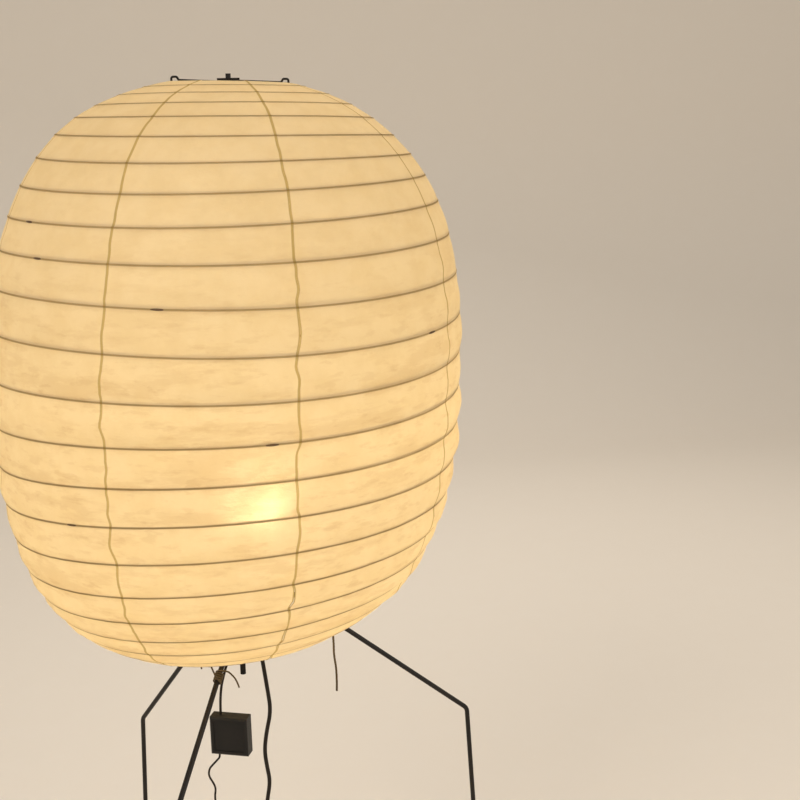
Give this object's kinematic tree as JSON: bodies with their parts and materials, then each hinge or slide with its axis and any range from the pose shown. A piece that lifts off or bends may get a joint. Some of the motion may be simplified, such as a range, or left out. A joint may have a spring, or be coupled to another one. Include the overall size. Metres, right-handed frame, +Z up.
{
  "type": "floor lamp",
  "caption": "Egg-shaped paper lantern on a spiral rib, hung by a wire cross-bar from a bent stem over three bent rod legs, with bulb, mains lead and a hanging pull switch.",
  "frame": {"origin": "on the floor, under the middle of the outline of shade and legs, measured without the cords and what hangs on them", "axes": "+Z up; the camera side is -Y; +X to the right as seen from the camera side"},
  "size_m": [0.5767, 0.6774, 1.2508],
  "materials": {
    "paper": "thin handmade paper, matt, lit from inside",
    "bamboo": "split bamboo, satin",
    "black_wire": "black, satin",
    "black_metal": "black, satin",
    "black_rubber": "matt",
    "brass": "dull",
    "steel": "zinc plated",
    "holder_plastic": "moulded, matt",
    "holder_ceramic": "unglazed",
    "bulb_glass": "frosted, glowing",
    "bulb_cap": "satin",
    "bulb_insulator": "black glass",
    "solder": "solder",
    "black_cord": "flexible cord sheath, matt",
    "string": "twisted string",
    "strap": "matt",
    "plug_plastic": "moulded, matt",
    "pins": "nickel plated",
    "box_plastic": "moulded, satin"
  },
  "bodies": {
    "frame": {"bottom_ring": "black_wire", "box_back": "box_plastic", "box_front": "box_plastic", "box_screws": "steel", "coil_tie": "strap", "contact_plate": "holder_ceramic", "contact_tongue": "brass", "crosswire": "black_wire", "foot_tips": "black_rubber", "holder_base": "holder_plastic", "holder_shell": "holder_plastic", "hub": "black_metal", "lead_bush": "black_rubber", "leg_front": "black_metal", "leg_rear": "black_metal", "leg_right": "black_metal", "mains_coil": "black_cord", "mains_lead": "black_cord", "nipple": "brass", "nipple_nut": "brass", "paper_gore_1": "paper", "paper_gore_2": "paper", "paper_gore_3": "paper", "paper_gore_4": "paper", "paper_gore_5": "paper", "paper_gore_6": "paper", "paper_gore_7": "paper", "paper_gore_8": "paper", "plug_body": "plug_plastic", "plug_boot": "plug_plastic", "plug_lead": "black_cord", "plug_pins": "pins", "return_spring": "steel", "saddle": "black_metal", "spiral_rib": "bamboo", "stem": "black_metal", "stem_tip": "black_rubber", "stem_washer": "black_metal", "switch_block": "box_plastic", "switch_lead": "black_cord", "thread_sleeve": "brass", "tie_front": "string", "tie_rear": "string", "tie_right": "string", "tie_spans": "string", "tie_tails": "string", "top_ring": "black_wire"},
    "bulb": {"bulb_glass": "bulb_glass", "bulb_cap": "bulb_cap", "bulb_insulator": "bulb_insulator", "bulb_contact": "solder"},
    "finial": {"finial_nut": "brass"},
    "leg_screw_right": {"leg_screw_right": "steel"},
    "leg_screw_rear": {"leg_screw_rear": "steel"},
    "leg_screw_front": {"leg_screw_front": "steel"},
    "stem_screw": {"stem_screw": "steel"},
    "pull": {"pull_rod": "box_plastic", "pull_cord": "black_cord", "pull_bead": "box_plastic"}
  },
  "joints": [
    {"name": "bulb_turn", "type": "hinge", "parent": "frame", "child": "bulb", "pos_m": [-0.00837, 0.0133, 0.72], "axis": [0, 0, 1], "continuous": true},
    {"name": "finial_turn", "type": "hinge", "parent": "frame", "child": "finial", "pos_m": [-0.00837, 0.0133, 1.25], "axis": [0, 0, 1], "continuous": true},
    {"name": "leg_screw_right_turn", "type": "hinge", "parent": "frame", "child": "leg_screw_right", "pos_m": [0.00669, 0.01617, 0.65945], "axis": [0.1874, -0.9823, 0], "continuous": true},
    {"name": "leg_screw_rear_turn", "type": "hinge", "parent": "frame", "child": "leg_screw_rear", "pos_m": [-0.01724, 0.02322, 0.65737], "axis": [0.7455, 0.6665, 0], "continuous": true},
    {"name": "leg_screw_front_turn", "type": "hinge", "parent": "frame", "child": "leg_screw_front", "pos_m": [-0.01446, -0.00126, 0.66001], "axis": [-0.9225, 0.3859, 0], "continuous": true},
    {"name": "stem_screw_turn", "type": "hinge", "parent": "frame", "child": "stem_screw", "pos_m": [-0.03437, 0.0133, 0.6743], "axis": [-1, 0, 0], "continuous": true},
    {"name": "pull_travel", "type": "slide", "parent": "frame", "child": "pull", "axis": [0, 0, -1], "range_m": [0, 0.006], "stiffness_N_per_m": 200, "springref_m": -0.01, "deforming": ["return_spring"]}
  ]
}
